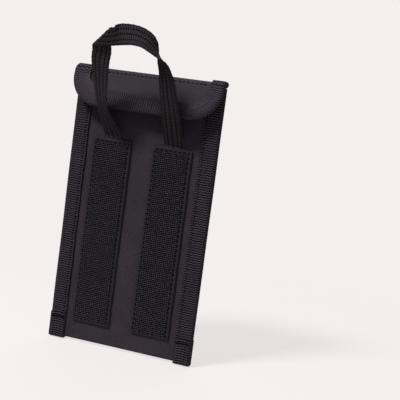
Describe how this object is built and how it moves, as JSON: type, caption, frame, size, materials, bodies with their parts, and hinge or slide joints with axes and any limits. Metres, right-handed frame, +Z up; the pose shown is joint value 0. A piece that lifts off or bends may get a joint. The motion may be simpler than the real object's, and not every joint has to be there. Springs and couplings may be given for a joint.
{
  "type": "tourniquet pouch",
  "caption": "Flat black fabric tourniquet pouch with bound edges, hook strips on its front, a fold-over flap and a webbing pull handle.",
  "frame": {"origin": "middle of the two hook strips, on the plane of their faces", "axes": "-Y out of the hook strips' faces, +Z up towards the flap, +X across the pouch"},
  "size_m": [0.095, 0.0529, 0.1946],
  "materials": {
    "pouch_cloth": "matte woven polyester",
    "lining_cloth": "smooth woven lining",
    "foam": "closed foam sheet",
    "binding_tape": "ribbed grosgrain",
    "hook_tape": "hook tape",
    "loop_tape": "brushed loop tape",
    "webbing": "woven webbing",
    "thread": "sewing thread"
  },
  "bodies": {
    "pouch": {"front_panel": "pouch_cloth", "rear_panel": "pouch_cloth", "front_lining": "lining_cloth", "rear_lining": "lining_cloth", "rear_foam": "foam", "side_binding_left": "binding_tape", "side_binding_right": "binding_tape", "binding_stitching_left": "thread", "binding_stitching_right": "thread", "binding_bartack_left": "thread", "binding_bartack_right": "thread", "hook_strip_left": "hook_tape", "hook_strip_right": "hook_tape", "strip_stitching_left": "thread", "strip_stitching_right": "thread", "handle_anchor_left": "webbing", "handle_anchor_right": "webbing", "closure_loop_tape": "loop_tape", "closure_stitching": "thread"},
    "flap": {"flap_shell": "pouch_cloth", "flap_lining": "lining_cloth", "flap_binding": "binding_tape", "flap_stitching": "thread", "top_stitching": "thread", "closure_hook_tape": "hook_tape"},
    "handle": {"pull_handle": "webbing"}
  },
  "joints": [
    {"name": "flap_fold", "type": "hinge", "parent": "pouch", "child": "flap", "pos_m": [0, 0.0099, 0.09575], "axis": [-1, 0, 0], "range_deg": [0, 150]},
    {"name": "handle_swing", "type": "hinge", "parent": "pouch", "child": "handle", "pos_m": [0, 0.0019, 0.0597], "axis": [1, 0, 0], "range_deg": [0, 85]}
  ]
}
